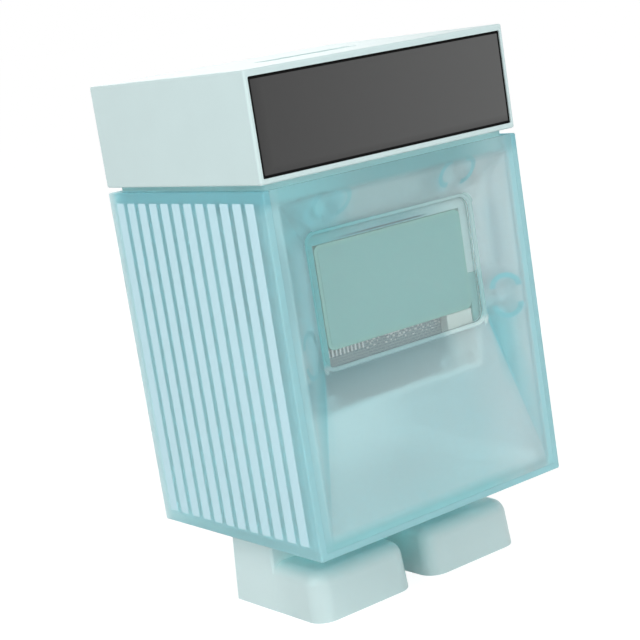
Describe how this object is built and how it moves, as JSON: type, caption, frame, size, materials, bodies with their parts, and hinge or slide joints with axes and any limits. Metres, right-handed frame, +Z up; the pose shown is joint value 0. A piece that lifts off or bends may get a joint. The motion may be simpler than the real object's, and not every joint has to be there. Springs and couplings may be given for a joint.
{
  "type": "digital coin counting jar",
  "caption": "Robot-shaped coin bank: frosted jar with a display behind a sloped front panel, a lift-off head with a coin slot, and two feet.",
  "frame": {"origin": "middle of the bounding box at the soles of the feet", "axes": "+Z up, the front with the display faces -Y, +X to the right seen from the front"},
  "size_m": [0.11, 0.096, 0.1894],
  "materials": {
    "mint_plastic": "satin moulded plastic",
    "frosted_aqua": "frosted, see-through moulded plastic",
    "clear_window": "clear polished plastic",
    "visor_black": "polished dark plastic",
    "lcd_glass": "grey-green display, blank",
    "circuit_board": "coated laminate",
    "chip_black": "moulded package",
    "housing_plastic": "plain moulded plastic",
    "contact_rubber": "layered contact strip",
    "lever_plastic": "plain moulded plastic",
    "steel": "plated",
    "battery_sleeve": "plain printed sleeve",
    "button_rubber": "matt"
  },
  "bodies": {
    "jar": {"battery_1": "battery_sleeve", "battery_2": "battery_sleeve", "battery_bridge": "steel", "battery_contact_1": "steel", "battery_contact_2": "steel", "battery_cover": "housing_plastic", "battery_cover_screw": "steel", "battery_spring_1": "steel", "battery_spring_2": "steel", "board_screw_1": "steel", "board_screw_2": "steel", "board_screw_3": "steel", "board_screw_4": "steel", "coin_channel_cover": "housing_plastic", "controller_chip": "chip_black", "cover_screw_1": "steel", "cover_screw_2": "steel", "cover_screw_3": "steel", "cover_screw_4": "steel", "display_board": "circuit_board", "display_frame": "frosted_aqua", "display_window": "clear_window", "electronics_housing": "housing_plastic", "foot_screw_1": "steel", "foot_screw_2": "steel", "foot_screw_3": "steel", "foot_screw_4": "steel", "front_panel": "frosted_aqua", "jar_shell": "frosted_aqua", "lcd_connector": "contact_rubber", "lcd_panel": "lcd_glass", "left_foot": "mint_plastic", "lever_pin": "steel", "lever_sensor": "chip_black", "lever_spring": "steel", "reset_switch": "chip_black", "right_foot": "mint_plastic"},
    "head": {"head_shell": "mint_plastic", "visor_window": "visor_black", "head_base": "mint_plastic", "coin_chute": "housing_plastic", "head_screw_1": "steel", "head_screw_2": "steel", "head_screw_3": "steel", "head_screw_4": "steel"},
    "lever": {"coin_lever": "lever_plastic"},
    "button": {"reset_button": "button_rubber"}
  },
  "joints": [
    {"name": "head_lift", "type": "slide", "parent": "jar", "child": "head", "axis": [0, 0, 1], "range_m": [0, 0.06]},
    {"name": "lever_turn", "type": "hinge", "parent": "jar", "child": "lever", "pos_m": [0.027, -0.008, 0.1288], "axis": [0, -1, 0], "range_deg": [0, 36], "stiffness_Nm_per_rad": 0.002, "springref_deg": -17.19, "deforming": ["lever_spring"]},
    {"name": "button_press", "type": "slide", "parent": "jar", "child": "button", "axis": [0, 0, -1], "range_m": [0, 0.001], "stiffness_N_per_m": 400, "springref_m": -0.0005}
  ]
}
